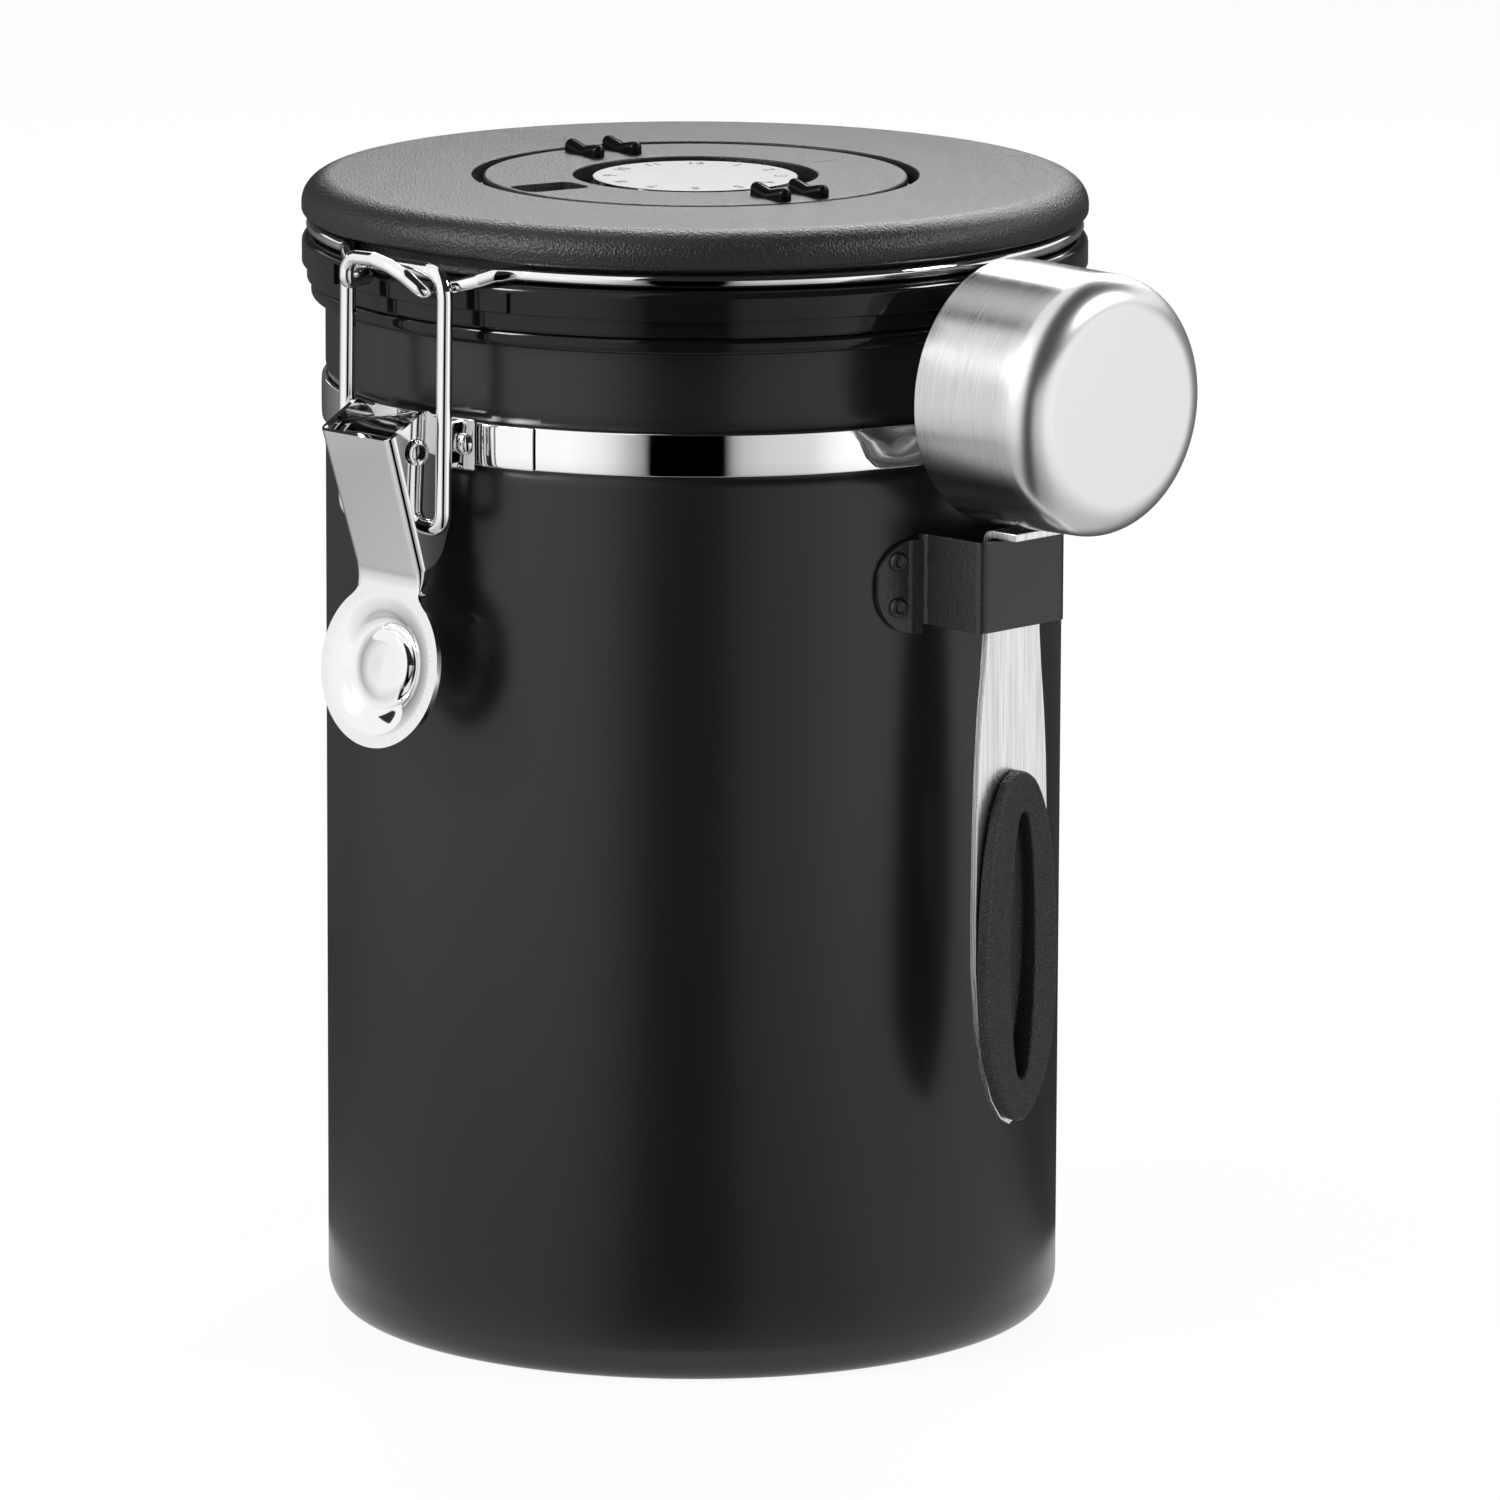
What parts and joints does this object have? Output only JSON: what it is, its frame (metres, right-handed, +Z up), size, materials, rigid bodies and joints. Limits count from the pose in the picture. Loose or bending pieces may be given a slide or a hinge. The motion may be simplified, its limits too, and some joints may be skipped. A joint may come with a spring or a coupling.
{
  "type": "coffee canister",
  "caption": "Tall round steel canister with a hinged lid held by an over-centre wire clamp, a date dial and vent valve in the lid, and a scoop that hangs at its side.",
  "frame": {"origin": "centre of the flat base, on the surface that the canister stands on", "axes": "+Z up along the canister's axis, clamp at -Y, lid hinge at +Y, scoop at +X"},
  "size_m": [0.1653, 0.1531, 0.1969],
  "materials": {
    "coated_steel": "matt black powder coat",
    "black_plastic": "satin black, fine grain",
    "gloss_plastic": "glossy black",
    "chrome": "bright polished steel",
    "brushed_steel": "fine brushed stainless steel",
    "silicone": null,
    "rubber": "grained black rubber",
    "dial_white": "white printed face",
    "felt": null
  },
  "bodies": {
    "canister": {"canister_body": "coated_steel", "collar_ring": "gloss_plastic", "band_strap": "chrome", "latch_bracket": "chrome", "latch_rivet_left": "chrome", "latch_rivet_right": "chrome", "hinge_plate": "chrome", "hinge_rivet_left": "chrome", "hinge_rivet_right": "chrome", "scoop_bracket": "coated_steel"},
    "lid": {"lid_cover": "black_plastic", "lid_base": "black_plastic", "lid_gasket": "silicone", "lid_wire": "chrome", "valve_cap": "black_plastic", "valve_filter": "felt", "valve_grille": "black_plastic", "day_plate": "dial_white", "dial_disc": "dial_white"},
    "dial": {"date_ring": "black_plastic", "finger_ridge_1": "gloss_plastic", "finger_ridge_2": "gloss_plastic", "finger_ridge_3": "gloss_plastic", "finger_ridge_4": "gloss_plastic"},
    "valve": {"valve_disc": "silicone"},
    "lever": {"latch_lever": "chrome", "lever_pivot_pin": "chrome"},
    "link": {"link_wire": "chrome"},
    "scoop": {"scoop_cup": "brushed_steel", "scoop_handle": "brushed_steel", "scoop_grip": "rubber"}
  },
  "joints": [
    {"name": "lid_hinge", "type": "hinge", "parent": "canister", "child": "lid", "pos_m": [0, 0.0715, 0.1865], "axis": [-1, 0, 0], "range_deg": [0, 220]},
    {"name": "lever_hinge", "type": "hinge", "parent": "canister", "child": "lever", "pos_m": [0, -0.0731, 0.1568], "axis": [-1, 0, 0], "range_deg": [0, 110]},
    {"name": "link_hinge", "type": "hinge", "parent": "lever", "child": "link", "pos_m": [0, -0.0701, 0.144], "axis": [-1, 0, 0], "range_deg": [-81, 0]},
    {"name": "scoop_lift", "type": "slide", "parent": "canister", "child": "scoop", "axis": [-0.0624, 0, 0.9981], "range_m": [0, 0.105]},
    {"name": "dial_turn", "type": "hinge", "parent": "lid", "child": "dial", "pos_m": [0, 0, 0.1936], "axis": [0, 0, 1], "continuous": true},
    {"name": "valve_lift", "type": "slide", "parent": "lid", "child": "valve", "axis": [0, 0, 1], "range_m": [0, 0.0006]}
  ],
  "couplings": [
    {"joint": "link_hinge", "follows": "lever_hinge", "ratio": -0.735}
  ]
}
